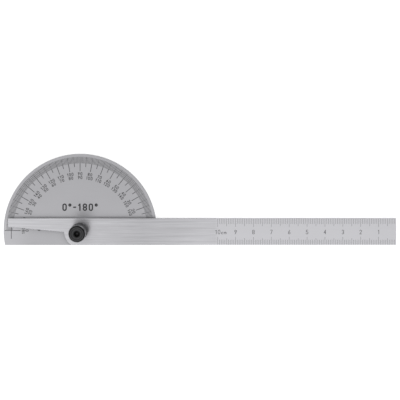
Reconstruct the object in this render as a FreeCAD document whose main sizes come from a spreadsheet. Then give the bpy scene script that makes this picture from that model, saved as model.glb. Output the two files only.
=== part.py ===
import FreeCAD, Part
# Swing-blade protractor: a half-round graduated head plate and a rule that swings on a pivot stud
# and is held by a knurled lock nut.
#
# Frame: millimetres. The origin is on the pivot axis, in the plane of the head plate's flat back.
# +X runs along the rule to its tip, +Y up over the graduated arc, +Z out of the graduated face.
import math
import os

import Sketcher
from FreeCAD import Placement, Rotation, Vector

DRIVING_SIZES = [
    # Head plate
    ("head_radius", 43.0),
    ("base_drop", 8.2),
    ("head_thickness", 1.0),
    ("edge_break", 0.15),
    # Swing blade
    ("face_gap", 0.1),
    ("blade_thickness", 1.0),
    ("blade_above_pivot", 7.1),
    ("blade_below_pivot", 7.9),
    ("blade_reach", 177.2),
    ("pointer_reach", 40.1),
    ("pointer_rise", 2.25),
    ("pointer_drop", 0.62),
    ("hub_radius", 9.0),
    # Pivot stud
    ("shoulder_radius", 2.5),
    ("stud_head_radius", 3.4),
    ("running_gap", 0.03),
    ("shoulder_step", 0.1),
    ("stud_thread_radius", 1.5),
    ("stud_end_chamfer", 0.35),
    ("stud_length", 9.6),
    # Washers
    ("seat_gap", 0.01),
    ("wave_inner_radius", 2.75),
    ("wave_outer_radius", 3.9),
    ("wave_sheet", 0.25),
    ("wave_rise", 0.2),
    ("wave_count", 3),
    ("washer_inner_radius", 1.65),
    ("washer_outer_radius", 4.2),
    ("washer_thickness", 0.5),
    # Lock nut
    ("nut_radius", 4.75),
    ("nut_height", 8.0),
    ("nut_bore_radius", 1.55),
    ("nut_top_chamfer", 0.9),
    ("nut_foot_chamfer", 0.4),
    ("nut_mouth_chamfer", 0.25),
    ("knurl_count", 40),
    ("knurl_depth", 0.22),
    # Paint in the etched marks
    ("paint_film", 0.02),
    ("degree_tick_width", 0.22),
    ("main_tick_width", 0.3),
    ("degree_tick_outer", 41.4),
    ("single_degree_inner", 37.75),
    ("five_degree_inner", 35.8),
    ("ten_degree_inner", 33.4),
    ("base_line_outer", 42.3),
    ("cross_mark_radius", 38.6),
    ("cross_mark_above", 1.8),
    ("cross_mark_below", 4.6),
    ("index_dot_radius", 0.9),
    ("index_dot_distance", 23.0),
    ("index_dot_rise", 0.75),
    ("degree_numeral_height", 1.8),
    ("degree_numeral_stroke", 0.28),
    ("outer_numeral_radius", 31.85),
    ("inner_numeral_radius", 29.75),
    ("legend_height", 4.2),
    ("legend_stroke", 0.75),
    ("legend_rise", 13.1),
    ("rule_tick_width", 0.12),
    ("rule_margin", 0.2),
    ("upper_mm_tick", 3.0),
    ("upper_five_tick", 4.2),
    ("upper_cm_tick", 4.6),
    ("lower_mm_tick", 2.8),
    ("lower_five_tick", 3.6),
    ("lower_cm_tick", 4.4),
    ("rule_numeral_height", 2.4),
    ("rule_numeral_stroke", 0.24),
    ("rule_unit_height", 1.9),
    ("rule_numeral_rise", -0.6),
]
MM_PER_CM = 10
RULE_LENGTH_CM = 10
HALF_TURN = 180
POINTS_PER_WAVE = 12
KNURL_HALF_WIDTH = 1.25  # half the groove's mouth, as a share of its depth
KNURL_OVERSHOOT = 0.25  # how far the cutter starts outside the nut, as a share of the depth


class Size:
    """A length that carries its value and the sheet expression it comes from."""

    def __init__(self, value, text):
        self.value = value
        self.text = text

    def _join(self, other, sign, value):
        text = other.text if isinstance(other, Size) else repr(other)
        return Size(value, f"({self.text} {sign} {text})")

    def __add__(self, other):
        return self._join(other, "+", self.value + number(other))

    def __sub__(self, other):
        return self._join(other, "-", self.value - number(other))

    def __mul__(self, other):
        return self._join(other, "*", self.value * number(other))

    def __neg__(self):
        return Size(-self.value, f"(-{self.text})")


def number(value):
    """The plain number of a Size or a number."""
    return value.value if isinstance(value, Size) else value


class SizeBook:
    """The driving sizes as attributes, each tied to its cell in the sheet."""

    def __init__(self, rows):
        for name, value in rows:
            setattr(self, name, Size(value, f"Sizes.{name}"))


def make_sheet(doc, rows):
    """Writes each driving size as a plain number with its alias."""
    sheet = doc.addObject("Spreadsheet::Sheet", "Sizes")
    for row, (name, value) in enumerate(rows, start=1):
        sheet.set(f"A{row}", name)
        sheet.set(f"B{row}", str(value))
        sheet.setAlias(f"B{row}", name)
    doc.recompute()
    return sheet


# ---------------------------------------------------------------- sketch and body helpers


def bind(target, path, size):
    """Sets a property to a size and ties it to the sheet."""
    if "." not in path:
        setattr(target, path, size.value)
    target.setExpression(path, size.text)


def new_body(doc, label, height=None):
    """A PartDesign body, lifted to its height above the head plate's back."""
    body = doc.addObject("PartDesign::Body", label)
    body.Label = label
    if height is not None:
        body.Placement = Placement(Vector(0, 0, height.value), Rotation())
        bind(body, "Placement.Base.z", height)
    return body


def new_sketch(body, name, role):
    """A sketch on one of the body's own origin planes."""
    sketch = body.newObject("Sketcher::SketchObject", name)
    plane = next(part for part in body.Origin.OriginFeatures if part.Role == role)
    sketch.AttachmentSupport = (plane, [""])
    sketch.MapMode = "FlatFace"
    return sketch


def hold(sketch, constraint, size):
    """Adds a driving constraint whose value comes from the sheet."""
    index = sketch.addConstraint(constraint)
    sketch.renameConstraint(index, f"held_{index}")
    sketch.setExpression(f"Constraints.held_{index}", size.text)


def hold_x(sketch, geometry, point, size):
    hold(sketch, Sketcher.Constraint("DistanceX", -1, 1, geometry, point, size.value), size)


def hold_y(sketch, geometry, point, size):
    hold(sketch, Sketcher.Constraint("DistanceY", -1, 1, geometry, point, size.value), size)


def centred_circle(sketch, radius):
    """A circle on the sketch origin."""
    index = sketch.addGeometry(Part.Circle(Vector(), Vector(0, 0, 1), radius.value), False)
    sketch.addConstraint(Sketcher.Constraint("Coincident", index, 3, -1, 1))
    hold(sketch, Sketcher.Constraint("Radius", index, radius.value), radius)


def add_line(sketch, start, end):
    return sketch.addGeometry(Part.LineSegment(Vector(*start, 0), Vector(*end, 0)), False)


def add_arc(sketch, radius, start_angle, end_angle):
    """An arc about the sketch origin, held to its radius. Angles in radians, counter-clockwise."""
    circle = Part.Circle(Vector(), Vector(0, 0, 1), radius.value)
    index = sketch.addGeometry(Part.ArcOfCircle(circle, start_angle, end_angle), False)
    sketch.addConstraint(Sketcher.Constraint("Coincident", index, 3, -1, 1))
    hold(sketch, Sketcher.Constraint("Radius", index, radius.value), radius)
    return index


def join(sketch, first, first_point, second, second_point):
    sketch.addConstraint(Sketcher.Constraint("Coincident", first, first_point, second, second_point))


def polygon(sketch, corners):
    """A closed outline of straight edges with every corner held to the sheet."""
    count = len(corners)
    values = [(number(x), number(y)) for x, y in corners]
    lines = [add_line(sketch, values[i], values[(i + 1) % count]) for i in range(count)]
    for i in range(count):
        join(sketch, lines[i], 2, lines[(i + 1) % count], 1)
    for line, (x, y) in zip(lines, corners):
        if isinstance(x, Size):
            hold_x(sketch, line, 1, x)
        else:
            sketch.addConstraint(Sketcher.Constraint("PointOnObject", line, 1, -2))
        if isinstance(y, Size):
            hold_y(sketch, line, 1, y)
        else:
            sketch.addConstraint(Sketcher.Constraint("PointOnObject", line, 1, -1))


def pad(body, name, sketch, height):
    feature = body.newObject("PartDesign::Pad", name)
    feature.Profile = sketch
    bind(feature, "Length", height)
    body.Tip = feature
    return feature


def revolve(body, name, sketch):
    """A full turn about the sketch's vertical axis."""
    feature = body.newObject("PartDesign::Revolution", name)
    feature.Profile = sketch
    feature.ReferenceAxis = (sketch, ["V_Axis"])
    feature.Angle = 360
    body.Tip = feature
    return feature


def pocket_through(body, name, sketch):
    """A pocket both ways through everything."""
    feature = body.newObject("PartDesign::Pocket", name)
    feature.Profile = sketch
    feature.SideType = "Symmetric"
    feature.Type = "ThroughAll"
    body.Tip = feature
    return feature


def chamfer(doc, body, name, size, wanted):
    """Chamfers the edges of the body's tip that the test picks."""
    doc.recompute()
    base = body.Tip
    edges = [f"Edge{i}" for i, edge in enumerate(base.Shape.Edges, start=1) if wanted(edge)]
    feature = body.newObject("PartDesign::Chamfer", name)
    feature.Base = (base, edges)
    bind(feature, "Size", size)
    body.Tip = feature
    return feature


def is_flat_at(edge, height):
    """True for an edge that lies wholly at one height."""
    box = edge.BoundBox
    return abs(box.ZMin - height) < 1e-6 and abs(box.ZMax - height) < 1e-6


def is_circle_of(edge, radius):
    curve = edge.Curve
    return isinstance(curve, Part.Circle) and abs(curve.Radius - radius) < 1e-6


# ---------------------------------------------------------------- the mechanical pieces


def make_head_plate(doc, s):
    """A half-round plate with a straight base edge and the stud's countersunk seat."""
    body = new_body(doc, "head_plate")
    sketch = new_sketch(body, "head_outline", "XY_Plane")
    radius, drop = s.head_radius.value, s.base_drop.value
    half_chord = math.sqrt(radius**2 - drop**2)
    low = math.asin(drop / radius)
    rim = add_arc(sketch, s.head_radius, -low, math.pi + low)
    base = add_line(sketch, (-half_chord, -drop), (half_chord, -drop))
    join(sketch, rim, 2, base, 1)
    join(sketch, base, 2, rim, 1)
    sketch.addConstraint(Sketcher.Constraint("Horizontal", base))
    hold_y(sketch, base, 1, -s.base_drop)
    centred_circle(sketch, s.shoulder_radius)
    pad(body, "head_pad", sketch, s.head_thickness)
    seat = s.stud_head_radius - s.shoulder_radius
    chamfer(doc, body, "stud_countersink", seat, lambda edge: is_flat_at(edge, 0)
            and is_circle_of(edge, s.shoulder_radius.value))
    top = s.head_thickness.value
    chamfer(doc, body, "head_edge_break", s.edge_break, lambda edge: is_flat_at(edge, top)
            and not is_circle_of(edge, s.shoulder_radius.value))
    return body


def make_swing_blade(doc, s):
    """The rule with its pointer end, the round hub cut and the pivot bore."""
    height = s.head_thickness + s.face_gap
    body = new_body(doc, "swing_blade", height)
    sketch = new_sketch(body, "blade_outline", "XY_Plane")
    reach, pointer = s.blade_reach.value, s.pointer_reach.value
    above, below = s.blade_above_pivot.value, s.blade_below_pivot.value
    rise, drop = s.pointer_rise.value, s.pointer_drop.value
    hub = s.hub_radius.value
    root = (-math.sqrt(hub**2 - drop**2), -drop)
    foot = (-math.sqrt(hub**2 - below**2), -below)
    tip_edge = add_line(sketch, (reach, -below), (reach, above))
    upper_edge = add_line(sketch, (reach, above), (-pointer, above))
    pointer_end = add_line(sketch, (-pointer, above), (-pointer, rise))
    pointer_edge = add_line(sketch, (-pointer, rise), root)
    hub_arc = add_arc(sketch, s.hub_radius, math.pi + math.asin(drop / hub),
                      math.pi + math.asin(below / hub))
    lower_edge = add_line(sketch, foot, (reach, -below))
    join(sketch, tip_edge, 2, upper_edge, 1)
    join(sketch, upper_edge, 2, pointer_end, 1)
    join(sketch, pointer_end, 2, pointer_edge, 1)
    join(sketch, pointer_edge, 2, hub_arc, 1)
    join(sketch, hub_arc, 2, lower_edge, 1)
    join(sketch, lower_edge, 2, tip_edge, 1)
    for edge in (tip_edge, pointer_end):
        sketch.addConstraint(Sketcher.Constraint("Vertical", edge))
    for edge in (upper_edge, lower_edge):
        sketch.addConstraint(Sketcher.Constraint("Horizontal", edge))
    hold_x(sketch, tip_edge, 1, s.blade_reach)
    hold_y(sketch, upper_edge, 1, s.blade_above_pivot)
    hold_x(sketch, pointer_end, 1, -s.pointer_reach)
    hold_y(sketch, pointer_edge, 1, s.pointer_rise)
    hold_y(sketch, pointer_edge, 2, -s.pointer_drop)
    hold_y(sketch, lower_edge, 1, -s.blade_below_pivot)
    centred_circle(sketch, s.shoulder_radius + s.running_gap)
    pad(body, "blade_pad", sketch, s.blade_thickness)
    top = s.blade_thickness.value
    chamfer(doc, body, "blade_edge_break", s.edge_break, lambda edge: is_flat_at(edge, top))
    return body


def make_pivot_stud(doc, s):
    """Countersunk head flush in the plate, a shoulder through the blade, then the threaded end."""
    body = new_body(doc, "pivot_stud")
    sketch = new_sketch(body, "stud_profile", "XZ_Plane")
    seat = s.stud_head_radius - s.shoulder_radius
    neck = s.shoulder_radius - s.seat_gap
    shoulder_top = s.head_thickness + s.face_gap + s.blade_thickness - s.shoulder_step
    polygon(sketch, [
        (0, 0),
        (s.stud_head_radius - s.seat_gap, 0),
        (neck, seat),
        (neck, shoulder_top),
        (s.stud_thread_radius, shoulder_top),
        (s.stud_thread_radius, s.stud_length - s.stud_end_chamfer),
        (s.stud_thread_radius - s.stud_end_chamfer, s.stud_length),
        (0, s.stud_length),
    ])
    revolve(body, "stud_turning", sketch)
    return body


def stack_heights(s):
    """Where the washers and the nut sit above the head plate's back."""
    blade_top = s.head_thickness + s.face_gap + s.blade_thickness
    wave = blade_top + s.seat_gap
    washer = wave + s.wave_rise + s.wave_sheet + s.seat_gap
    nut = washer + s.washer_thickness + s.seat_gap
    return wave, washer, nut


def wave_edge(radius, rise, waves):
    """A closed curve at one radius that rises and falls evenly round the ring."""
    points = []
    count = waves * POINTS_PER_WAVE
    for i in range(count):
        angle = 2 * math.pi * i / count
        height = rise / 2 * (1 + math.cos(waves * angle))
        points.append(Vector(radius * math.cos(angle), radius * math.sin(angle), height))
    curve = Part.BSplineCurve()
    curve.interpolate(Points=points, PeriodicFlag=True)
    return curve.toShape()


def make_wave_washer(doc, s, height):
    """A thin sprung ring, waved so that it touches the blade and the flat washer in turn."""
    waves = int(s.wave_count.value)
    inner = wave_edge(s.wave_inner_radius.value, s.wave_rise.value, waves)
    outer = wave_edge(s.wave_outer_radius.value, s.wave_rise.value, waves)
    ring = Part.makeRuledSurface(inner, outer)
    solid = ring.extrude(Vector(0, 0, s.wave_sheet.value))
    if solid.ShapeType != "Solid":
        solid = Part.makeSolid(solid)
    if solid.Volume < 0:
        solid.reverse()
    return add_feature(doc, "wave_washer", solid, height)


def make_flat_washer(doc, s, height):
    """A plain washer with broken outer edges."""
    body = new_body(doc, "flat_washer", height)
    sketch = new_sketch(body, "washer_rings", "XY_Plane")
    centred_circle(sketch, s.washer_inner_radius)
    centred_circle(sketch, s.washer_outer_radius)
    pad(body, "washer_pad", sketch, s.washer_thickness)
    chamfer(doc, body, "washer_edge_break", s.edge_break,
            lambda edge: is_circle_of(edge, s.washer_outer_radius.value))
    return body


def make_lock_nut(doc, s, height):
    """A round thumb nut with a straight knurl and chamfered ends."""
    body = new_body(doc, "lock_nut", height)
    sketch = new_sketch(body, "nut_profile", "XZ_Plane")
    radius, bore, top = s.nut_radius, s.nut_bore_radius, s.nut_height
    foot, rim, mouth = s.nut_foot_chamfer, s.nut_top_chamfer, s.nut_mouth_chamfer
    corners = [(bore + mouth, 0), (radius - foot, 0), (radius, foot), (radius, top - rim),
               (radius - rim, top), (bore + mouth, top), (bore, top - mouth), (bore, mouth)]
    polygon(sketch, corners)
    revolve(body, "nut_turning", sketch)
    groove = new_sketch(body, "knurl_groove", "XY_Plane")
    outside = radius + s.knurl_depth * KNURL_OVERSHOOT
    half_mouth = s.knurl_depth * KNURL_HALF_WIDTH
    polygon(groove, [(radius - s.knurl_depth, 0), (outside, -half_mouth), (outside, half_mouth)])
    doc.recompute()
    cut = pocket_through(body, "first_knurl_groove", groove)
    doc.recompute()
    pattern = body.newObject("PartDesign::PolarPattern", "knurl")
    pattern.Originals = [cut]
    pattern.Axis = (groove, ["N_Axis"])
    pattern.Angle = 360
    bind(pattern, "Occurrences", Size(int(s.knurl_count.value), s.knurl_count.text))
    body.Tip = pattern
    return body


# ---------------------------------------------------------------- painted marks


def add_feature(doc, label, shape, height):
    feature = doc.addObject("Part::Feature", label)
    feature.Label = label
    feature.Shape = shape
    feature.Placement = Placement(Vector(0, 0, height.value), Rotation())
    feature.setExpression("Placement.Base.z", height.text)
    return feature


# Each glyph is drawn with straight and round strokes in a box one unit high:
# ("line", x0, y0, x1, y1), ("arc", centre x, centre y, radius, start degrees, end degrees)
# and ("ring", centre x, centre y, radius). The first number is the glyph's width.
TOP_BOWL = (0.25, 0.75, 0.25)
LOW_BOWL = (0.25, 0.25, 0.25)
GLYPHS = {
    "0": (0.5, [("arc", *TOP_BOWL, 0, 180), ("arc", *LOW_BOWL, 180, 360),
                ("line", 0, 0.25, 0, 0.75), ("line", 0.5, 0.25, 0.5, 0.75)]),
    "1": (0.34, [("line", 0.24, 0, 0.24, 1), ("line", 0.24, 1, 0.06, 0.82)]),
    "2": (0.5, [("arc", *TOP_BOWL, -30, 180), ("line", 0.4665, 0.625, 0, 0), ("line", 0, 0, 0.5, 0)]),
    "3": (0.5, [("arc", *TOP_BOWL, -90, 150), ("arc", *LOW_BOWL, -150, 90)]),
    "4": (0.5, [("line", 0.38, 0, 0.38, 1), ("line", 0.38, 1, 0, 0.3), ("line", 0, 0.3, 0.5, 0.3)]),
    "5": (0.5, [("line", 0.46, 1, 0.06, 1), ("line", 0.06, 1, 0.04, 0.4945),
                ("arc", 0.22, 0.28, 0.28, -150, 130)]),
    "6": (0.5, [("ring", *LOW_BOWL), ("line", 0.0335, 0.375, 0.38, 1)]),
    "7": (0.5, [("line", 0, 1, 0.5, 1), ("line", 0.5, 1, 0.17, 0)]),
    "8": (0.5, [("ring", *TOP_BOWL), ("ring", *LOW_BOWL)]),
    "9": (0.5, [("ring", *TOP_BOWL), ("line", 0.4665, 0.625, 0.12, 0)]),
    "c": (0.5, [("arc", 0.3, 0.3, 0.3, 50, 310)]),
    "m": (0.72, [("line", 0, 0, 0, 0.6), ("arc", 0.18, 0.42, 0.18, 0, 180),
                 ("line", 0.36, 0.42, 0.36, 0), ("arc", 0.54, 0.42, 0.18, 0, 180),
                 ("line", 0.72, 0.42, 0.72, 0)]),
    "-": (0.3, [("line", 0, 0.5, 0.3, 0.5)]),
    "\N{DEGREE SIGN}": (0.3, [("ring", 0.15, 0.85, 0.15)]),
}
LETTER_GAP = 0.25


def line_stroke(start, end, half):
    """A straight stroke with round ends, as a flat face."""
    along = (end - start).normalize()
    side = Vector(-along.y, along.x, 0) * half
    along = along * half
    edges = [
        Part.LineSegment(start - side, end - side).toShape(),
        Part.Arc(end - side, end + along, end + side).toShape(),
        Part.LineSegment(end + side, start + side).toShape(),
        Part.Arc(start + side, start - along, start - side).toShape(),
    ]
    return Part.Face(Part.Wire(edges))


def arc_stroke(centre, radius, start, end, half):
    """A round stroke between two angles, with round ends, as a flat face."""

    def at(distance, degrees):
        angle = math.radians(degrees)
        return centre + Vector(math.cos(angle), math.sin(angle), 0) * distance

    def cap(degrees, way):
        turn = math.radians(degrees)
        past = Vector(-math.sin(turn), math.cos(turn), 0) * half * way
        return at(radius, degrees) + past

    outer, inner, middle = radius + half, radius - half, (start + end) / 2
    edges = [
        Part.Arc(at(outer, start), at(outer, middle), at(outer, end)).toShape(),
        Part.Arc(at(outer, end), cap(end, 1), at(inner, end)).toShape(),
        Part.Arc(at(inner, end), at(inner, middle), at(inner, start)).toShape(),
        Part.Arc(at(inner, start), cap(start, -1), at(outer, start)).toShape(),
    ]
    return Part.Face(Part.Wire(edges))


def ring_stroke(centre, radius, half):
    """A full round stroke as a flat face."""
    outer = Part.Wire(Part.makeCircle(radius + half, centre))
    inner = Part.Wire(Part.makeCircle(radius - half, centre))
    return Part.makeFace([outer, inner], "Part::FaceMakerBullseye")


def glyph_solids(character, height, stroke, film):
    """One character as thin solids with its lower left corner at the origin."""
    half = stroke / 2
    scale = height - stroke
    faces = []
    for kind, *values in GLYPHS[character][1]:
        if kind == "line":
            x0, y0, x1, y1 = (value * scale for value in values)
            faces.append(line_stroke(Vector(x0, y0, 0), Vector(x1, y1, 0), half))
        elif kind == "arc":
            x, y, radius = (value * scale for value in values[:3])
            faces.append(arc_stroke(Vector(x, y, 0), radius, *values[3:], half))
        else:
            x, y, radius = (value * scale for value in values)
            faces.append(ring_stroke(Vector(x, y, 0), radius, half))
    merged = faces[0]
    if len(faces) > 1:
        merged = faces[0].multiFuse(faces[1:]).removeSplitter()
    return [face.extrude(Vector(0, 0, film)) for face in merged.Faces]


class Lettering:
    """Sets text of one size, with each character's solids built once."""

    def __init__(self, height, stroke, film):
        self.height = height
        self.stroke = stroke
        self.film = film
        self.made = {}

    def width(self, text):
        scale = self.height - self.stroke
        inked = sum(GLYPHS[character][0] for character in text) * scale
        return inked + (len(text) - 1) * self.gap()

    def gap(self):
        return LETTER_GAP * (self.height - self.stroke) + self.stroke

    def solids(self, text, place, left=None):
        """The text as solids, centred on the place's origin or starting at left."""
        scale = self.height - self.stroke
        x = -self.width(text) / 2 if left is None else left
        placed = []
        for character in text:
            if character not in self.made:
                self.made[character] = glyph_solids(character, self.height, self.stroke, self.film)
            offset = Placement(Vector(x, -scale / 2, 0), Rotation())
            for solid in self.made[character]:
                copy = solid.copy()
                copy.Placement = place.multiply(offset).multiply(copy.Placement)
                placed.append(copy)
            x += GLYPHS[character][0] * scale + self.gap()
        return placed


def turned(degrees, radius=0.0):
    """The place on a circle about the pivot, with its own +Y pointing away from the pivot."""
    turn = Rotation(Vector(0, 0, 1), degrees - 90)
    return Placement(turn.multVec(Vector(0, radius, 0)), turn)


def radial_tick(s, degrees, inner, outer, width):
    tick = Part.makeBox(width, outer - inner, s.paint_film.value, Vector(-width / 2, inner, 0))
    tick.Placement = turned(degrees)
    return tick


def make_degree_graduations(doc, s):
    """A tick each degree, a cross mark at each end of the base line, and the index dot."""
    outer, fine, main = s.degree_tick_outer.value, s.degree_tick_width.value, s.main_tick_width.value
    marks = []
    for degrees in range(1, HALF_TURN):
        if degrees % 10 == 0:
            inner, width = s.ten_degree_inner.value, main
        elif degrees % 5 == 0:
            inner, width = s.five_degree_inner.value, main
        else:
            inner, width = s.single_degree_inner.value, fine
        marks.append(radial_tick(s, degrees, inner, outer, width))
    film = s.paint_film.value
    above, below = s.cross_mark_above.value, s.cross_mark_below.value
    for degrees in (0, HALF_TURN):
        line = radial_tick(s, degrees, s.ten_degree_inner.value, s.base_line_outer.value, main)
        centre = math.cos(math.radians(degrees)) * s.cross_mark_radius.value
        corner = Vector(centre - main / 2, -below, 0)
        cross = Part.makeBox(main, above + below, film, corner)
        marks.extend(line.fuse(cross).removeSplitter().Solids)
    spot = Vector(-s.index_dot_distance.value, s.index_dot_rise.value, 0)
    marks.append(Part.makeCylinder(s.index_dot_radius.value, film, spot))
    return add_feature(doc, "degree_graduations", Part.makeCompound(marks), s.head_thickness)


def make_degree_numerals(doc, s):
    """Two rows of tens of degrees: the outer row counts from the right, the inner from the left."""
    lettering = Lettering(s.degree_numeral_height.value, s.degree_numeral_stroke.value,
                          s.paint_film.value)
    solids = []
    for degrees in range(0, HALF_TURN + 1, 10):
        outer_place = turned(degrees, s.outer_numeral_radius.value)
        inner_place = turned(degrees, s.inner_numeral_radius.value)
        solids.extend(lettering.solids(str(degrees), outer_place))
        solids.extend(lettering.solids(str(HALF_TURN - degrees), inner_place))
    return add_feature(doc, "degree_numerals", Part.makeCompound(solids), s.head_thickness)


def make_head_legend(doc, s):
    """The head's range in bold figures, centred above the pivot."""
    lettering = Lettering(s.legend_height.value, s.legend_stroke.value, s.paint_film.value)
    place = Placement(Vector(0, s.legend_rise.value, 0), Rotation())
    solids = lettering.solids("0\N{DEGREE SIGN}-180\N{DEGREE SIGN}", place)
    return add_feature(doc, "head_legend", Part.makeCompound(solids), s.head_thickness)


def make_rule_graduations(doc, s, height):
    """Millimetre ticks along both long edges, counted from the tip."""
    width, film = s.rule_tick_width.value, s.paint_film.value
    top = s.blade_above_pivot.value - s.rule_margin.value
    foot = s.rule_margin.value - s.blade_below_pivot.value
    lengths = {
        "cm": (s.upper_cm_tick.value, s.lower_cm_tick.value),
        "five": (s.upper_five_tick.value, s.lower_five_tick.value),
        "mm": (s.upper_mm_tick.value, s.lower_mm_tick.value),
    }
    ticks = []
    for count in range(1, RULE_LENGTH_CM * MM_PER_CM + 1):
        kind = "cm" if count % 10 == 0 else "five" if count % 5 == 0 else "mm"
        upper, lower = lengths[kind]
        left = s.blade_reach.value - count - width / 2
        ticks.append(Part.makeBox(width, upper, film, Vector(left, top - upper, 0)))
        ticks.append(Part.makeBox(width, lower, film, Vector(left, foot, 0)))
    return add_feature(doc, "rule_graduations", Part.makeCompound(ticks), height)


def make_rule_numerals(doc, s, height):
    """The centimetre figures, with the unit after the last one."""
    film, stroke = s.paint_film.value, s.rule_numeral_stroke.value
    figures = Lettering(s.rule_numeral_height.value, stroke, film)
    units = Lettering(s.rule_unit_height.value, stroke, film)
    rise = s.rule_numeral_rise.value
    solids = []
    for count in range(1, RULE_LENGTH_CM + 1):
        place = Placement(Vector(s.blade_reach.value - count * MM_PER_CM, rise, 0), Rotation())
        solids.extend(figures.solids(str(count), place))
    last = str(RULE_LENGTH_CM)
    left = figures.width(last) / 2 + figures.gap()
    lower = (s.rule_numeral_height.value - s.rule_unit_height.value) / 2
    place = Placement(Vector(s.blade_reach.value - RULE_LENGTH_CM * MM_PER_CM, rise - lower, 0),
                      Rotation())
    solids.extend(units.solids("cm", place, left))
    return add_feature(doc, "rule_numerals", Part.makeCompound(solids), height)


# ---------------------------------------------------------------- checks and files


def check_document(doc, pieces):
    """Stops before any file is written if a feature failed or a piece isn't sound."""
    for item in doc.Objects:
        if "Invalid" in item.State or "Error" in item.State:
            raise RuntimeError(f"{item.Name} failed: {item.State}")
        cuts = item.TypeId in ("PartDesign::Pocket", "PartDesign::Chamfer", "PartDesign::PolarPattern")
        if cuts and not item.Shape.Volume < item.BaseFeature.Shape.Volume:
            raise RuntimeError(f"{item.Name} cuts nothing")
    for piece in pieces:
        shape = piece.Shape
        if shape.isNull() or not shape.isValid() or not shape.Solids:
            raise RuntimeError(f"{piece.Label} has no sound shape")
        if any(solid.Volume <= 0 for solid in shape.Solids):
            raise RuntimeError(f"{piece.Label} holds an inside-out solid")


def write_pieces(pieces):
    os.makedirs("parts", exist_ok=True)
    for piece in pieces:
        piece.Shape.exportStep(os.path.join("parts", piece.Label + ".step"))
        print(f"{piece.Label}: {len(piece.Shape.Solids)} solids, {piece.Shape.Volume:.2f} mm3")


def main():
    doc = FreeCAD.newDocument("protractor")
    make_sheet(doc, DRIVING_SIZES)
    s = SizeBook(DRIVING_SIZES)
    blade_top = s.head_thickness + s.face_gap + s.blade_thickness
    wave_height, washer_height, nut_height = stack_heights(s)
    pieces = [
        make_head_plate(doc, s),
        make_degree_graduations(doc, s),
        make_degree_numerals(doc, s),
        make_head_legend(doc, s),
        make_swing_blade(doc, s),
        make_rule_graduations(doc, s, blade_top),
        make_rule_numerals(doc, s, blade_top),
        make_pivot_stud(doc, s),
        make_wave_washer(doc, s, wave_height),
        make_flat_washer(doc, s, washer_height),
        make_lock_nut(doc, s, nut_height),
    ]
    doc.recompute()
    check_document(doc, pieces)
    write_pieces(pieces)


main()
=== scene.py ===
import math

import bmesh
import bpy
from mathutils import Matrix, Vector


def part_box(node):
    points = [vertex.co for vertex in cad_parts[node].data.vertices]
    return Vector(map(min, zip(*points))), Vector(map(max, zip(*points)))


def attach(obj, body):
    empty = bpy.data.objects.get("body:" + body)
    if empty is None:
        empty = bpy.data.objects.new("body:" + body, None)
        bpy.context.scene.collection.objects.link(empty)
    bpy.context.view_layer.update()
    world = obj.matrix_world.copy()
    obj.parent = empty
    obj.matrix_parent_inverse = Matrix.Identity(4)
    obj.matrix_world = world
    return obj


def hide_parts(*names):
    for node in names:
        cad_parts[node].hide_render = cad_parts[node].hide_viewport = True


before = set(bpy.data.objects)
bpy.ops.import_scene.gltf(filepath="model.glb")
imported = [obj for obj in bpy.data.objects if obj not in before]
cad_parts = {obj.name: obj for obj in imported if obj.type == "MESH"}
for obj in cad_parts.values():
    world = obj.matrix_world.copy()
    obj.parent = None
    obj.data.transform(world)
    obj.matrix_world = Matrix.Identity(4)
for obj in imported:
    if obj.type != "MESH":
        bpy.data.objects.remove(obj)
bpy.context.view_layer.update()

MM = 0.001
FULL_TURN = 2 * math.pi

# Places and sizes that the frame gives.
HEAD_LOW, HEAD_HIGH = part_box("head_plate")
BLADE_LOW, BLADE_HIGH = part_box("swing_blade")
NUT_LOW, NUT_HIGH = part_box("lock_nut")
STUD_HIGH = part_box("pivot_stud")[1]
RULE_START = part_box("rule_graduations")[0].x

# Sizes inside the turned pieces.
THREAD_RADIUS = 1.5 * MM
THREAD_PITCH = 0.5 * MM
THREAD_DEPTH = 0.24 * MM
THREAD_CLEARANCE = 0.05 * MM
SHOULDER_RADIUS = 2.49 * MM
SHOULDER_STEP = 0.1 * MM
STUD_END_CHAMFER = 0.35 * MM
NUT_TOP_CHAMFER = 0.9 * MM
NUT_RIM_BREAK = 0.11 * MM
NUT_FOOT_CHAMFER = 0.4 * MM
NUT_MOUTH_CHAMFER = 0.25 * MM
NUT_RIM_RADIUS = NUT_HIGH.x - NUT_TOP_CHAMFER
KNURL_COUNT = 40
KNURL_DEPTH = 0.22 * MM
TURNING_FEED = 0.2 * MM
TURNING_DEPTH = 0.012 * MM

# One knurl tooth, as shares of the pitch and of the groove's depth, from one groove's root to the next.
KNURL_TOOTH = ((0.0, 1.0), (0.29, 0.1), (0.35, 0.0), (0.65, 0.0), (0.71, 0.1))

# How finely the turned meshes are drawn: sides round the stud, and rows of points up each stretch.
STUD_SIDES = 72
ROWS_PER_THREAD = 6
FOOT_CHAMFER_ROWS = 4
SIDE_ROWS = 3
TOP_CHAMFER_ROWS = 6
SHARP_ANGLE = math.radians(28)

# The eye that the main view is seen from, and the width it takes in at the blade's face.
EYE_X = 67.3 * MM
EYE_Y = 71.7 * MM
EYE_HEIGHT = 354.0 * MM
VIEW_WIDTH = 223.8 * MM
VIEW_CENTRE_Y = 17.32 * MM
SENSOR_WIDTH = 36.0

# The studio, in metres and watts.
FLOOR_REACH = 20.0
FLOOR_DROP = 0.02 * MM
KEY_DISTANCE = 1.95
KEY_WIDTH = 4.0
KEY_DEPTH = 1.2
KEY_WATTS = 24.0

# The room's strength at the horizon and overhead, which it reaches where a direction's z is ROOM_FULL_Z.
ROOM_HORIZON = 0.3
ROOM_OVERHEAD = 0.72
ROOM_FULL_Z = 0.8


# ---------------------------------------------------------------- meshes


def spread(start, end, count):
    """Points from start towards end, leaving the end out."""
    return [tuple(a + (b - a) * i / count for a, b in zip(start, end)) for i in range(count)]


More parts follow.
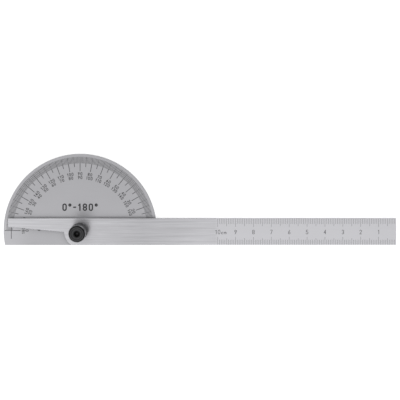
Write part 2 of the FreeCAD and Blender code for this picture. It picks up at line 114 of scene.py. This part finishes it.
def tooth(share):
    """A V-shaped thread at a share of its pitch: 0 at the root, 1 at the crest."""
    return 1 - abs(2 * (share % 1.0) - 1)


def thread_cut(height, angle, share):
    """How deep a thread is cut at a point, where a share of 1 is its full depth."""
    return THREAD_DEPTH * share * (1 - tooth(height / THREAD_PITCH - angle / FULL_TURN))


def run_out(distance):
    """The share of a thread's depth at a distance from its end: full after one pitch."""
    return min(1.0, max(0.0, distance / THREAD_PITCH))


def knurl_angles():
    """The angles that each knurl tooth needs, with the groove's share of depth at each."""
    pitch = FULL_TURN / KNURL_COUNT
    return [((i + share) * pitch, depth) for i in range(KNURL_COUNT) for share, depth in KNURL_TOOTH]


def even_angles(count):
    """Even angles round a piece that has no grooves."""
    return [(FULL_TURN * i / count, 0.0) for i in range(count)]


def turned_mesh(name, outline, angles, shape, closed):
    """A turned piece, made of rows of points round the axis.

    outline is its (radius, height) points in order. A closed one makes a ring, and an open one starts and
    ends on the axis. angles are pairs of an angle and the groove's share of depth there, and shape gives
    each point its radius.
    """
    work = bmesh.new()
    rows = []
    for radius, height in outline:
        if radius == 0:
            rows.append([work.verts.new((0, 0, height))] * len(angles))
            continue
        row = []
        for angle, depth in angles:
            r = shape(radius, height, angle, depth)
            row.append(work.verts.new((r * math.cos(angle), r * math.sin(angle), height)))
        rows.append(row)
    pairs = list(zip(rows, rows[1:]))
    if closed:
        pairs.append((rows[-1], rows[0]))
    for lower, upper in pairs:
        for i in range(len(angles)):
            k = (i + 1) % len(angles)
            corners = []
            for corner in (lower[i], lower[k], upper[k], upper[i]):
                if corner not in corners:
                    corners.append(corner)
            work.faces.new(corners)
    bmesh.ops.recalc_face_normals(work, faces=work.faces)
    mesh = bpy.data.meshes.new(name)
    work.to_mesh(mesh)
    work.free()
    mesh.shade_smooth()
    mesh.set_sharp_from_angle(angle=SHARP_ANGLE)
    piece = bpy.data.objects.new(name, mesh)
    bpy.context.scene.collection.objects.link(piece)
    return piece


def turned_face(start, end, height):
    """A flat face from one radius to another with the fine rings that the tool leaves."""
    rings = int(abs(start - end) / TURNING_FEED)
    flank = TURNING_FEED / 4
    points = []
    for i in range(1, rings):
        middle = start + (end - start) * i / rings
        points.append((middle - flank, height))
        points.append((middle + flank, height - TURNING_DEPTH))
    return sorted(points, reverse=start > end)


def lock_nut():
    """The knurled nut, with chamfers, turned faces and a threaded bore."""
    radius, foot, top = NUT_HIGH.x, NUT_LOW.z, NUT_HIGH.z
    bore = THREAD_RADIUS + THREAD_CLEARANCE
    mouth = bore + NUT_MOUTH_CHAMFER
    threads = round((top - foot) / THREAD_PITCH)
    side_foot = (radius, foot + NUT_FOOT_CHAMFER)
    side_top = (radius, top - NUT_TOP_CHAMFER)
    rim = (NUT_RIM_RADIUS + NUT_RIM_BREAK, top - NUT_RIM_BREAK)
    face_edge = NUT_RIM_RADIUS - NUT_RIM_BREAK
    bore_foot = (bore, foot + NUT_MOUTH_CHAMFER)
    bore_top = (bore, top - NUT_MOUTH_CHAMFER)
    outline = [(mouth, foot)]
    outline += spread((radius - NUT_FOOT_CHAMFER, foot), side_foot, FOOT_CHAMFER_ROWS)
    outline += spread(side_foot, side_top, SIDE_ROWS)
    outline += spread(side_top, rim, TOP_CHAMFER_ROWS)
    outline += [rim, (face_edge, top)]
    outline += turned_face(face_edge, mouth, top)
    outline += [(mouth, top)]
    outline += spread(bore_top, bore_foot, threads * ROWS_PER_THREAD)
    outline += [bore_foot]

    def shape(r, height, angle, depth):
        if r > mouth:
            return min(r, radius - KNURL_DEPTH * depth)
        if r > bore:
            return r
        from_end = min(height - foot, top - height) - NUT_MOUTH_CHAMFER
        return r + thread_cut(height, angle, run_out(from_end))

    piece = turned_mesh("lock_nut_turned", outline, knurl_angles(), shape, closed=True)
    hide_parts("lock_nut")
    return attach(piece, "nut")


def pivot_stud():
    """The stud: flush countersunk head, shoulder and threaded end."""
    head_radius, end = STUD_HIGH.x, STUD_HIGH.z
    # The head is countersunk at 45 degrees, so it is as deep as it is wider than the shoulder.
    head_depth = head_radius - SHOULDER_RADIUS
    shoulder_top = BLADE_HIGH.z - SHOULDER_STEP
    thread_top = end - STUD_END_CHAMFER
    end_radius = THREAD_RADIUS - STUD_END_CHAMFER
    dimple = end_radius / 3
    threads = round((thread_top - shoulder_top) / THREAD_PITCH)
    # The head's face looks down, so its rings are cut upwards into it.
    head_face = [(r, 2 * TURNING_DEPTH - h) for r, h in turned_face(0, head_radius, TURNING_DEPTH)]
    outline = [(0, TURNING_DEPTH)] + head_face
    outline += [(head_radius, 0), (SHOULDER_RADIUS, head_depth), (SHOULDER_RADIUS, shoulder_top)]
    outline += spread((THREAD_RADIUS, shoulder_top), (THREAD_RADIUS, thread_top), threads * ROWS_PER_THREAD)
    outline += [(THREAD_RADIUS, thread_top), (end_radius, end), (dimple, end), (0, end - dimple)]

    def shape(r, height, angle, depth):
        if r != THREAD_RADIUS:
            return r
        return r - thread_cut(height, angle, run_out(height - shoulder_top))

    piece = turned_mesh("pivot_stud_turned", outline, even_angles(STUD_SIDES), shape, closed=False)
    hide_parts("pivot_stud")
    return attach(piece, "head")


# ---------------------------------------------------------------- nodes


class Nodes:
    """A short way to write a node tree that works from a place or a direction: x, y and z."""

    def __init__(self, owner, place):
        owner.use_nodes = True
        self.tree = owner.node_tree
        self.tree.nodes.clear()
        self.place = self.node("ShaderNodeTexCoord").outputs[place]
        split = self.node("ShaderNodeSeparateXYZ", {"Vector": self.place})
        self.x, self.y, self.z = split.outputs

    def node(self, kind, inputs=None, **settings):
        """Makes a node. Each input is a value or another node's output."""
        made = self.tree.nodes.new(kind)
        for key, value in settings.items():
            setattr(made, key, value)
        for key, value in (inputs or {}).items():
            self.feed(made.inputs[key], value)
        return made

    def feed(self, socket, value):
        if isinstance(value, bpy.types.NodeSocket):
            self.tree.links.new(value, socket)
        else:
            socket.default_value = value

    def calc(self, operation, first, second=0.0, third=0.0):
        """The result of one math node."""
        made = self.node("ShaderNodeMath", {0: first, 1: second, 2: third}, operation=operation)
        return made.outputs[0]

    def plus(self, base, layer, amount):
        """The base with an amount of the layer added."""
        return self.calc("MULTIPLY_ADD", layer, amount, base)

    def times(self, base, mask, change):
        """The base, left alone where the mask is 0 and changed by a share of itself where it is 1."""
        return self.calc("MULTIPLY", base, self.plus(1.0, mask, change))

    def step(self, value, low, high, at_low=0.0, at_high=1.0):
        """Goes smoothly from at_low to at_high as value goes from low to high."""
        made = self.node("ShaderNodeMapRange", {
            "Value": value, "From Min": low, "From Max": high, "To Min": at_low, "To Max": at_high,
        }, interpolation_type="SMOOTHSTEP")
        return made.outputs["Result"]

    def toward(self, value, edge, band):
        """Rises from 0 to 1 between two distances short of an edge, the farther one first."""
        farther, nearer = band
        return self.step(value, edge - farther, edge - nearer)


# A face's lean is 0 where it is upright and 1 where it is flat. A broken edge is between the two.
UPRIGHT_LEAN = (0.2, 0.4)
FLAT_LEAN = (0.8, 0.98)
FACE_SIDE_LEAN = (0.0, 0.2)


class Shader(Nodes):
    """The node tree of one material."""

    def __init__(self, name):
        self.material = bpy.data.materials.new(name)
        super().__init__(self.material, "Object")

    def noise(self, sizes, detail=3.0):
        """Cloudy noise about zero, from -0.5 to 0.5, with a grain size along each axis."""
        scaled = self.node("ShaderNodeVectorMath", {0: self.place, 1: [1 / size for size in sizes]},
                           operation="MULTIPLY")
        made = self.node("ShaderNodeTexNoise", {"Vector": scaled.outputs[0], "Scale": 1.0, "Detail": detail})
        return self.calc("SUBTRACT", made.outputs["Fac"], 0.5)

    def grains(self, size, detail=3.0):
        """Cloudy noise with the same grain size along each axis."""
        return self.noise((size, size, size), detail)

    def from_pivot(self):
        """The distance from the pivot axis."""
        flat = self.node("ShaderNodeCombineXYZ", {"X": self.x, "Y": self.y})
        made = self.node("ShaderNodeVectorMath", {0: flat.outputs[0]}, operation="LENGTH")
        return made.outputs["Value"]

    def rings(self, radius, spacing):
        """Waves from -1 to 1 across a radius."""
        return self.calc("SINE", self.calc("MULTIPLY", radius, FULL_TURN / spacing))

    def ramp(self, value, low, high, stops):
        """Goes evenly through the (share of the way, result) stops as value goes from low to high."""
        share = self.node("ShaderNodeMapRange", {"Value": value, "From Min": low, "From Max": high})
        made = self.node("ShaderNodeValToRGB", {"Fac": share.outputs["Result"]})
        points = made.color_ramp.elements
        while len(points) < len(stops):
            points.new(0.5)
        for point, (place, result) in zip(points, stops):
            point.position = place
            point.color = (result, result, result, 1)
        return made.outputs["Color"]

    def tinted(self, tone, tint):
        """A tone times a tint."""
        made = self.node("ShaderNodeVectorMath", {0: tone, 1: tint}, operation="MULTIPLY")
        return made.outputs[0]

    def upward(self):
        """1 on faces that look along the pivot, 0 on upright faces and -1 on the back."""
        normal = self.node("ShaderNodeNewGeometry").outputs["True Normal"]
        local = self.node("ShaderNodeVectorTransform", {"Vector": normal}, vector_type="NORMAL",
                          convert_from="WORLD", convert_to="OBJECT")
        return self.node("ShaderNodeSeparateXYZ", {"Vector": local.outputs[0]}).outputs["Z"]

    def edge_break(self):
        """1 on faces that are neither flat nor upright, such as broken edges and chamfers."""
        lean = self.calc("ABSOLUTE", self.upward())
        not_flat = self.step(lean, *FLAT_LEAN, at_low=1.0, at_high=0.0)
        return self.calc("MULTIPLY", self.step(lean, *UPRIGHT_LEAN), not_flat)

    def closeness(self, reach):
        """On the face side, 0 in the open and rising beside whatever stands within reach."""
        made = self.node("ShaderNodeAmbientOcclusion", {"Distance": reach}, samples=8)
        covered = self.calc("SUBTRACT", 1.0, made.outputs["AO"])
        return self.calc("MULTIPLY", covered, self.step(self.upward(), *FACE_SIDE_LEAN))

    def bump(self, height, distance):
        """Normals of a surface that stands up by a distance where the height is 1."""
        return self.node("ShaderNodeBump", {"Height": height, "Distance": distance}).outputs["Normal"]

    def grain_direction(self, direction):
        """A direction of the piece at rest, turned with the piece."""
        made = self.node("ShaderNodeVectorTransform", {"Vector": direction}, vector_type="VECTOR",
                         convert_from="OBJECT", convert_to="WORLD")
        return made.outputs[0]

    def surface(self, **inputs):
        """Ends the material. Names are the shader's own, with _ for a space."""
        named = {key.replace("_", " "): value for key, value in inputs.items()}
        shader = self.node("ShaderNodeBsdfPrincipled", named)
        self.node("ShaderNodeOutputMaterial", {"Surface": shader.outputs[0]})
        return self.material


# ---------------------------------------------------------------- materials


WHITE = (1.0, 1.0, 1.0, 1.0)
STEEL_TINT = (0.995, 0.99, 1.03)
OXIDE_TINT = (0.98, 0.99, 1.04)
PAINT_TINT = (1.0, 1.0, 1.05)

# The grain of both plates runs along x, so their highlights spread along y.
ACROSS_GRAIN = (0, 1, 0)
STEEL_SPECKLE = 0.25 * MM

# Grain sizes of the head along x, y and z.
HEAD_STREAK = (16 * MM, 0.3 * MM, 1 * MM)
HEAD_HAZE = (22 * MM, 14 * MM, 10 * MM)
HEAD_TONE = 0.512
HEAD_ROUGHNESS = 0.42

# Painted light makes the head's corner by the pointer lighter: fully up to the first place, and not past the
# second.
PAINTED_LIGHT_CORNER_X = (-42 * MM, -24 * MM)
PAINTED_LIGHT_CORNER_Y = (2 * MM, 10 * MM)

# How far from the blade and the nut painted shade darkens the head's colour.
CONTACT_REACH = 5 * MM


def head_steel():
    """Satin steel with a very fine grain along the base, with painted light that makes it lighter in the
    corner by the pointer, and painted shade next to the blade and the nut.
    """
    shader = Shader("head_steel")
    streak = shader.noise(HEAD_STREAK)
    speckle = shader.grains(STEEL_SPECKLE)
    haze = shader.noise(HEAD_HAZE, detail=2.0)
    edge = shader.edge_break()
    # Painted light: the colour is a little lighter towards the left end and a little darker higher up.
    across = shader.step(shader.x, HEAD_LOW.x, HEAD_HIGH.x, at_low=1.03, at_high=0.99)
    rise = shader.step(shader.y, 0.0, HEAD_HIGH.y, at_low=1.0, at_high=0.985)
    # Painted light: the colour is lighter in the corner by the pointer.
    corner = shader.calc("MULTIPLY", shader.step(shader.x, *PAINTED_LIGHT_CORNER_X, at_low=1.0, at_high=0.0),
                         shader.step(shader.y, *PAINTED_LIGHT_CORNER_Y, at_low=1.0, at_high=0.0))
    # Painted shade: the colour is darkened next to the blade and the nut, within the contact reach, but not
    # in the lighter corner.
    beside = shader.calc("SQRT", shader.closeness(CONTACT_REACH))
    painted_contact_shade = shader.calc("MULTIPLY", beside, shader.calc("SUBTRACT", 1.0, corner))
    tone = shader.calc("MULTIPLY", across, rise)
    tone = shader.plus(tone, corner, amount=0.13)
    tone = shader.plus(tone, streak, amount=0.07)
    tone = shader.plus(tone, speckle, amount=0.06)
    tone = shader.plus(tone, haze, amount=0.05)
    tone = shader.plus(tone, edge, amount=0.05)
    tone = shader.times(tone, painted_contact_shade, change=-0.4)
    tone = shader.calc("MULTIPLY", tone, HEAD_TONE)
    roughness = shader.plus(HEAD_ROUGHNESS, haze, amount=0.08)
    roughness = shader.plus(roughness, edge, amount=-0.1)
    height = shader.plus(streak, speckle, amount=0.6)
    return shader.surface(
        Base_Color=shader.tinted(tone, STEEL_TINT), Metallic=1.0, Roughness=roughness,
        Anisotropic=0.6, Tangent=shader.grain_direction(ACROSS_GRAIN),
        Normal=shader.bump(height, distance=0.002 * MM))


# Grain sizes of the blade along x, y and z.
BLADE_STREAK = (40 * MM, 0.9 * MM, 1 * MM)
BLADE_FINE_STREAK = (8 * MM, 0.09 * MM, 1 * MM)
BLADE_HAZE = (26 * MM, 9 * MM, 10 * MM)
BLADE_TONE = 0.6
BLADE_ROUGHNESS = 0.36

# How far before the rule's mark nearest the pivot the matte finish starts and is full.
MATTE_BAND = (2 * MM, -1 * MM)

# Painted reflection: how light the polished blade's colour is made along its length, for the studio's sheen
# on it: (share of the length, tone).
PAINTED_BLADE_SHEEN = ((0.0, 1.14), (0.23, 1.02), (0.35, 0.91), (0.41, 0.96), (0.5, 1.04), (1.0, 1.06))


def blade_steel():
    """Steel brushed along its length, with a painted reflection that changes along it, and matte and lighter
    where the rule is etched.
    """
    shader = Shader("blade_steel")
    streak = shader.noise(BLADE_STREAK)
    fine = shader.noise(BLADE_FINE_STREAK)
    haze = shader.noise(BLADE_HAZE, detail=2.0)
    edge = shader.edge_break()
    matte = shader.toward(shader.x, RULE_START, MATTE_BAND)
    brushed = shader.calc("SUBTRACT", 1.0, matte)
    speckle = shader.calc("MULTIPLY", shader.grains(STEEL_SPECKLE), matte)
    streak_amount = shader.plus(0.04, brushed, amount=0.4)
    # Painted reflection: the colour changes along the blade as the studio's sheen would.
    tone = shader.ramp(shader.x, BLADE_LOW.x, BLADE_HIGH.x, PAINTED_BLADE_SHEEN)
    tone = shader.plus(tone, streak, streak_amount)
    tone = shader.plus(tone, fine, streak_amount)
    tone = shader.plus(tone, speckle, amount=0.08)
    tone = shader.plus(tone, haze, amount=0.04)
    tone = shader.plus(tone, edge, amount=0.1)
    tone = shader.calc("MULTIPLY", tone, shader.plus(BLADE_TONE, matte, amount=0.065))
    roughness = shader.plus(BLADE_ROUGHNESS, matte, amount=0.08)
    roughness = shader.plus(roughness, shader.calc("MULTIPLY", streak, brushed), amount=0.12)
    roughness = shader.plus(roughness, edge, amount=-0.12)
    height = shader.plus(speckle, shader.calc("ADD", streak, fine), brushed)
    return shader.surface(
        Base_Color=shader.tinted(tone, STEEL_TINT), Metallic=1.0, Roughness=roughness,
        Anisotropic=shader.calc("MULTIPLY", brushed, 0.65), Tangent=shader.grain_direction(ACROSS_GRAIN),
        Normal=shader.bump(height, distance=0.003 * MM))


TURNED_TONE = 0.5
TURNED_ROUGHNESS = 0.34


def turned_steel():
    """Bright turned steel with fine rings about the pivot."""
    shader = Shader("turned_steel")
    rings = shader.rings(shader.from_pivot(), spacing=0.11 * MM)
    cloud = shader.grains(1.5 * MM)
    tone = shader.plus(TURNED_TONE, rings, amount=0.015)
    tone = shader.plus(tone, cloud, amount=0.1)
    roughness = shader.plus(TURNED_ROUGHNESS, cloud, amount=0.2)
    return shader.surface(
        Base_Color=shader.tinted(tone, STEEL_TINT), Metallic=1.0, Roughness=roughness,
        Normal=shader.bump(rings, distance=0.002 * MM))


OXIDE_TONE = 0.042
OXIDE_BLACKEST = 0.004
OXIDE_ROUGHNESS = 0.36

# Where the nut's finishes start and are full: in from its rim (painted shade on the chamfer), in from its
# side, and down from its top (a painted sheen band).
CHAMFER_BAND = (0.2 * MM, 0.1 * MM)
SIDE_BAND = (0.3 * MM, 0.25 * MM)
PAINTED_SHEEN_BAND = (3.5 * MM, 1.6 * MM)

# The painted highlight in the middle of the stud's end, from full to gone.
PAINTED_CENTRE_GLINT = (0.3 * MM, 0.6 * MM)


def black_oxide():
    """Black oxide on steel, with painted shade on the nut's chamfers and in its bore, a painted sheen band
    up the knurl and a painted highlight in the middle of the stud's end.
    """
    shader = Shader("black_oxide")
    radius = shader.from_pivot()
    rings = shader.rings(radius, spacing=1.1 * MM)
    fine_rings = shader.rings(radius, spacing=0.13 * MM)
    grain = shader.grains(0.18 * MM)
    cloud = shader.grains(2.2 * MM)
    # Painted shade: the nut's chamfers are made darker.
    chamfer = shader.calc("MULTIPLY", shader.edge_break(),
                          shader.toward(radius, NUT_RIM_RADIUS, CHAMFER_BAND))
    side = shader.toward(radius, NUT_HIGH.x, SIDE_BAND)
    # Painted sheen: a lighter band up the knurl just below the top.
    painted_sheen_band = shader.calc("MULTIPLY", side, shader.toward(shader.z, NUT_HIGH.z, PAINTED_SHEEN_BAND))
    # Painted shade: the bore and the stud's end within it are made darker.
    inside = shader.step(radius, THREAD_RADIUS, THREAD_RADIUS + NUT_MOUTH_CHAMFER, at_low=1.0, at_high=0.0)
    # Painted highlight in the middle of the stud's end.
    painted_centre_glint = shader.step(radius, *PAINTED_CENTRE_GLINT, at_low=1.0, at_high=0.0)
    # Makes the painted sheen band patchy.
    sheen_patches = shader.step(cloud, -0.15, 0.1, at_low=0.4, at_high=1.0)
    tone = shader.plus(OXIDE_TONE, rings, amount=0.016)
    tone = shader.plus(tone, cloud, amount=0.03)
    tone = shader.plus(tone, grain, amount=0.02)
    tone = shader.times(tone, chamfer, change=-0.7)
    tone = shader.plus(tone, shader.calc("MULTIPLY", painted_sheen_band, sheen_patches), amount=0.3)
    tone = shader.times(tone, inside, change=-0.8)
    tone = shader.plus(tone, painted_centre_glint, amount=0.04)
    tone = shader.calc("MAXIMUM", tone, OXIDE_BLACKEST)
    roughness = shader.plus(OXIDE_ROUGHNESS, chamfer, amount=0.2)
    roughness = shader.plus(roughness, cloud, amount=0.12)
    dull = shader.calc("MAXIMUM", chamfer, shader.calc("SUBTRACT", side, painted_sheen_band))
    dull = shader.calc("MAXIMUM", dull, inside)
    height = shader.plus(fine_rings, grain, amount=0.5)
    return shader.surface(
        Base_Color=shader.tinted(tone, OXIDE_TINT), Roughness=roughness,
        Metallic=shader.plus(0.55, dull, amount=-0.35),
        Specular_IOR_Level=shader.plus(0.5, dull, amount=-0.38),
        Normal=shader.bump(height, distance=0.003 * MM))


# Grain sizes of the wiping along x, y and z.
WIPED_STREAK = (0.9 * MM, 0.5 * MM, 0.5 * MM)
PAINT_TONE = 0.045
PAINT_BLACKEST = 0.02
PAINT_ROUGHNESS = 0.7


def mark_paint():
    """Dark paint in the etched marks, uneven where it has been wiped."""
    shader = Shader("mark_paint")
    wiped = shader.noise(WIPED_STREAK)
    grain = shader.grains(0.08 * MM)
    tone = shader.plus(PAINT_TONE, wiped, amount=0.05)
    tone = shader.calc("MAXIMUM", tone, PAINT_BLACKEST)
    roughness = shader.plus(PAINT_ROUGHNESS, grain, amount=0.3)
    return shader.surface(
        Base_Color=shader.tinted(tone, PAINT_TINT), Roughness=roughness,
        Normal=shader.bump(grain, distance=0.002 * MM))


FLOOR_TONE = 0.93
FLOOR_ROUGHNESS = 0.9
FLOOR_GLOW = 0.5


def floor_white():
    """A pale matte light table, faintly mottled, that can be seen through from below."""
    shader = Shader("floor_white")
    tone = shader.plus(FLOOR_TONE, shader.grains(60 * MM, detail=4.0), amount=0.02)
    from_below = shader.node("ShaderNodeNewGeometry").outputs["Backfacing"]
    return shader.surface(
        Base_Color=tone, Roughness=FLOOR_ROUGHNESS,
        Emission_Color=WHITE, Emission_Strength=FLOOR_GLOW,
        Alpha=shader.calc("SUBTRACT", 1.0, from_below))


def paint_nodes():
    """Gives each CAD node that stays in view its own material."""
    marks = mark_paint()
    turned = turned_steel()
    finishes = {
        "head_plate": head_steel(),
        "swing_blade": blade_steel(),
        "wave_washer": turned,
        "flat_washer": turned,
        "degree_graduations": marks,
        "degree_numerals": marks,
        "head_legend": marks,
        "rule_graduations": marks,
        "rule_numerals": marks,
    }
    for node, material in finishes.items():
        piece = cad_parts[node]
        piece.data.materials.clear()
        piece.data.materials.append(material)


# ---------------------------------------------------------------- studio


def add_floor():
    """A square floor just under the head's back."""
    square = ((-1, -1), (1, -1), (1, 1), (-1, 1))
    corners = [(x * FLOOR_REACH, y * FLOOR_REACH, -FLOOR_DROP) for x, y in square]
    mesh = bpy.data.meshes.new("floor")
    mesh.from_pydata(corners, [], [(0, 1, 2, 3)])
    mesh.materials.append(floor_white())
    floor = bpy.data.objects.new("floor", mesh)
    bpy.context.scene.collection.objects.link(floor)


def add_key_light():
    """A wide soft light, 45 degrees up on the base edge's side, that looks at the middle of the view."""
    data = bpy.data.lights.new("key", "AREA")
    data.shape = "RECTANGLE"
    data.size = KEY_WIDTH
    data.size_y = KEY_DEPTH
    data.energy = KEY_WATTS
    light = bpy.data.objects.new("key", data)
    light.location = (EYE_X, -KEY_DISTANCE, KEY_DISTANCE)
    look = Vector((EYE_X, 0.0, 0.0)) - light.location
    light.rotation_euler = look.to_track_quat("-Z", "Y").to_euler()
    bpy.context.scene.collection.objects.link(light)


def add_room():
    """A room that is dimmer towards the horizon, and that the camera itself sees as plain white."""
    world = bpy.data.worlds.new("room")
    room = Nodes(world, "Generated")
    strength = room.step(room.z, 0.0, ROOM_FULL_Z, at_low=ROOM_HORIZON, at_high=ROOM_OVERHEAD)
    camera_ray = room.node("ShaderNodeLightPath").outputs["Is Camera Ray"]
    strength = room.calc("MAXIMUM", strength, camera_ray)
    background = room.node("ShaderNodeBackground", {"Color": WHITE, "Strength": strength})
    room.node("ShaderNodeOutputWorld", {"Surface": background.outputs[0]})
    bpy.context.scene.world = world


def add_camera():
    """Looks straight down. The frame is shifted towards the object, as a cropped picture is."""
    data = bpy.data.cameras.new("camera")
    data.sensor_width = SENSOR_WIDTH
    data.lens = SENSOR_WIDTH * EYE_HEIGHT / VIEW_WIDTH
    data.clip_start = 10 * MM
    data.clip_end = 3 * FLOOR_REACH
    camera = bpy.data.objects.new("camera", data)
    camera.location = (EYE_X, EYE_Y, BLADE_HIGH.z + EYE_HEIGHT)
    bpy.context.scene.collection.objects.link(camera)
    bpy.context.scene.camera = camera
    # The shift belongs to this eye only, so it goes when another view moves the camera.
    shift = (VIEW_CENTRE_Y - EYE_Y) / VIEW_WIDTH
    same_place = 0.001 * MM
    driver = data.driver_add("shift_y").driver
    driver.type = "SCRIPTED"
    eye = driver.variables.new()
    eye.name = "eye"
    eye.type = "TRANSFORMS"
    eye.targets[0].id = camera
    eye.targets[0].transform_type = "LOC_Y"
    driver.expression = f"{shift:.6f} if fabs(eye - {EYE_Y:.6f}) < {same_place:.6f} else 0"


def main():
    paint_nodes()
    oxide = black_oxide()
    for piece in (pivot_stud(), lock_nut()):
        piece.data.materials.append(oxide)
    add_floor()
    add_room()
    add_key_light()
    add_camera()
    bpy.context.scene.view_settings.view_transform = "Standard"
    bpy.context.scene.view_settings.look = "None"


main()
